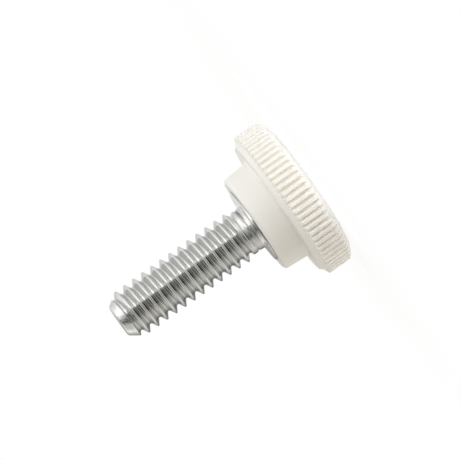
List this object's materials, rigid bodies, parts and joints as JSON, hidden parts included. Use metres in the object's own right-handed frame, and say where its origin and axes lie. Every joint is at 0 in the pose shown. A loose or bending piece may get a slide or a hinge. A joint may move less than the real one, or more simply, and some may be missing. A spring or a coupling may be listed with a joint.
{
  "type": "thumb screw",
  "caption": "Thumb screw: ribbed round plastic knob with a boss, moulded over the head of a right-handed threaded steel stud, turned by hand.",
  "frame": {"origin": "centre of the knob's flat top face, on which the screw stands", "axes": "+Z along the screw's axis, from the knob's top face to the stud's tip; +X towards a groove of the rim"},
  "size_m": [0.019, 0.019, 0.0269],
  "materials": {
    "ivory_plastic": "satin",
    "plated_steel": "bright plated"
  },
  "bodies": {
    "root": {"knob": "ivory_plastic", "threaded_stud": "plated_steel"}
  },
  "joints": []
}
